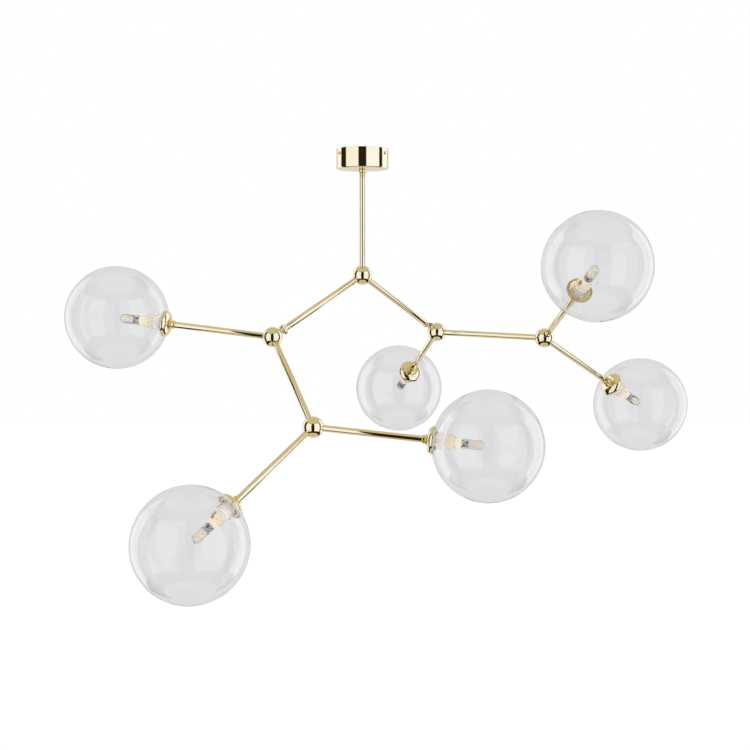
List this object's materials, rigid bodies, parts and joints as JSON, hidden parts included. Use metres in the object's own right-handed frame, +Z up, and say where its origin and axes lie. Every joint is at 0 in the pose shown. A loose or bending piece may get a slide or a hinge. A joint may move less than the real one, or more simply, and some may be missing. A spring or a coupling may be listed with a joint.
{
  "type": "multi arm chandelier",
  "caption": "Branching ceiling chandelier of polished pale brass tubes and ball connectors, whose arms end in clear glass globes with bare capsule lamps.",
  "frame": {"origin": "centre of the ceiling plate's top face, which bears on the ceiling", "axes": "+Z up out of the ceiling face, +X to the right and +Y away from the viewer in the front view"},
  "size_m": [1.2764, 1.025, 0.7973],
  "materials": {
    "gold": "polished, pale gold plated",
    "steel": "zinc plated",
    "nylon": "white moulded",
    "cream": "cream, satin",
    "lamp": "clear capsule with yellow chips",
    "glass": "clear blown"
  },
  "bodies": {
    "mast": {"ceiling_plate": "steel", "canopy_cup": "gold", "canopy_screw_1": "gold", "canopy_screw_2": "gold", "canopy_screw_3": "gold", "canopy_ring_nut": "gold", "rod_lock_nut": "steel", "terminal_block": "nylon", "drop_rod": "gold", "ball_a": "gold", "link_tube_ab": "gold", "link_tube_ac": "gold", "swivel_b_fixed_lug": "gold", "swivel_b_screw": "gold", "swivel_c_fixed_lug": "gold", "swivel_c_screw": "gold"},
    "branch_b": {"swivel_b_moving_lug": "gold", "ball_b": "gold", "link_tube_bd": "gold", "ball_d": "gold", "arm_tube_1": "gold", "arm_nut_1": "gold", "cup_1": "gold", "lamp_holder_1": "cream", "arm_tube_2": "gold", "arm_nut_2": "gold", "cup_2": "gold", "lamp_holder_2": "cream", "arm_tube_3": "gold", "arm_nut_3": "gold", "cup_3": "gold", "lamp_holder_3": "cream"},
    "branch_c": {"swivel_c_moving_lug": "gold", "ball_c": "gold", "link_tube_ce": "gold", "ball_e": "gold", "arm_tube_4": "gold", "arm_nut_4": "gold", "cup_4": "gold", "lamp_holder_4": "cream", "arm_tube_5": "gold", "arm_nut_5": "gold", "cup_5": "gold", "lamp_holder_5": "cream", "arm_tube_6": "gold", "arm_nut_6": "gold", "cup_6": "gold", "lamp_holder_6": "cream"},
    "globe_1": {"glass_globe_1": "glass"},
    "globe_2": {"glass_globe_2": "glass"},
    "globe_3": {"glass_globe_3": "glass"},
    "globe_4": {"glass_globe_4": "glass"},
    "globe_5": {"glass_globe_5": "glass"},
    "globe_6": {"glass_globe_6": "glass"},
    "lamp_1": {"lamp_1": "lamp"},
    "lamp_2": {"lamp_2": "lamp"},
    "lamp_3": {"lamp_3": "lamp"},
    "lamp_4": {"lamp_4": "lamp"},
    "lamp_5": {"lamp_5": "lamp"},
    "lamp_6": {"lamp_6": "lamp"}
  },
  "joints": [
    {"name": "swivel_b", "type": "hinge", "parent": "mast", "child": "branch_b", "pos_m": [-0.1504, -0.09326, -0.35276], "axis": [0.5508, 0.0469, -0.8333], "range_deg": [-30, 60]},
    {"name": "swivel_c", "type": "hinge", "parent": "mast", "child": "branch_c", "pos_m": [0.13655, 0.11257, -0.35276], "axis": [0.7296, -0.6232, 0.2816], "range_deg": [-30, 45]},
    {"name": "globe_thread_1", "type": "hinge", "parent": "branch_b", "child": "globe_1", "pos_m": [-0.47796, -0.05574, -0.33127], "axis": [-0.9804, 0.1603, 0.1141], "range_deg": [0, 540]},
    {"name": "globe_thread_2", "type": "hinge", "parent": "branch_b", "child": "globe_2", "pos_m": [-0.28163, -0.42844, -0.69735], "axis": [-0.6261, -0.5407, -0.5618], "range_deg": [0, 540]},
    {"name": "globe_thread_3", "type": "hinge", "parent": "branch_b", "child": "globe_3", "pos_m": [0.22431, -0.29384, -0.55115], "axis": [0.9893, -0.1109, -0.095], "range_deg": [0, 540]},
    {"name": "globe_thread_4", "type": "hinge", "parent": "branch_c", "child": "globe_4", "pos_m": [0.08132, 0.39681, -0.50958], "axis": [-0.2357, 0.8586, -0.4552], "range_deg": [0, 540]},
    {"name": "globe_thread_5", "type": "hinge", "parent": "branch_c", "child": "globe_5", "pos_m": [0.42182, -0.24162, -0.23468], "axis": [0.17, -0.8777, 0.4481], "range_deg": [0, 540]},
    {"name": "globe_thread_6", "type": "hinge", "parent": "branch_c", "child": "globe_6", "pos_m": [0.59888, 0.18242, -0.52606], "axis": [0.7353, 0.4762, -0.4822], "range_deg": [0, 540]},
    {"name": "lamp_pull_1", "type": "slide", "parent": "branch_b", "child": "lamp_1", "axis": [-0.9804, 0.1603, 0.1141], "range_m": [0, 0.006]},
    {"name": "lamp_pull_2", "type": "slide", "parent": "branch_b", "child": "lamp_2", "axis": [-0.6261, -0.5407, -0.5618], "range_m": [0, 0.006]},
    {"name": "lamp_pull_3", "type": "slide", "parent": "branch_b", "child": "lamp_3", "axis": [0.9893, -0.1109, -0.095], "range_m": [0, 0.006]},
    {"name": "lamp_pull_4", "type": "slide", "parent": "branch_c", "child": "lamp_4", "axis": [-0.2357, 0.8586, -0.4552], "range_m": [0, 0.006]},
    {"name": "lamp_pull_5", "type": "slide", "parent": "branch_c", "child": "lamp_5", "axis": [0.17, -0.8777, 0.4481], "range_m": [0, 0.006]},
    {"name": "lamp_pull_6", "type": "slide", "parent": "branch_c", "child": "lamp_6", "axis": [0.7353, 0.4762, -0.4822], "range_m": [0, 0.006]}
  ]
}
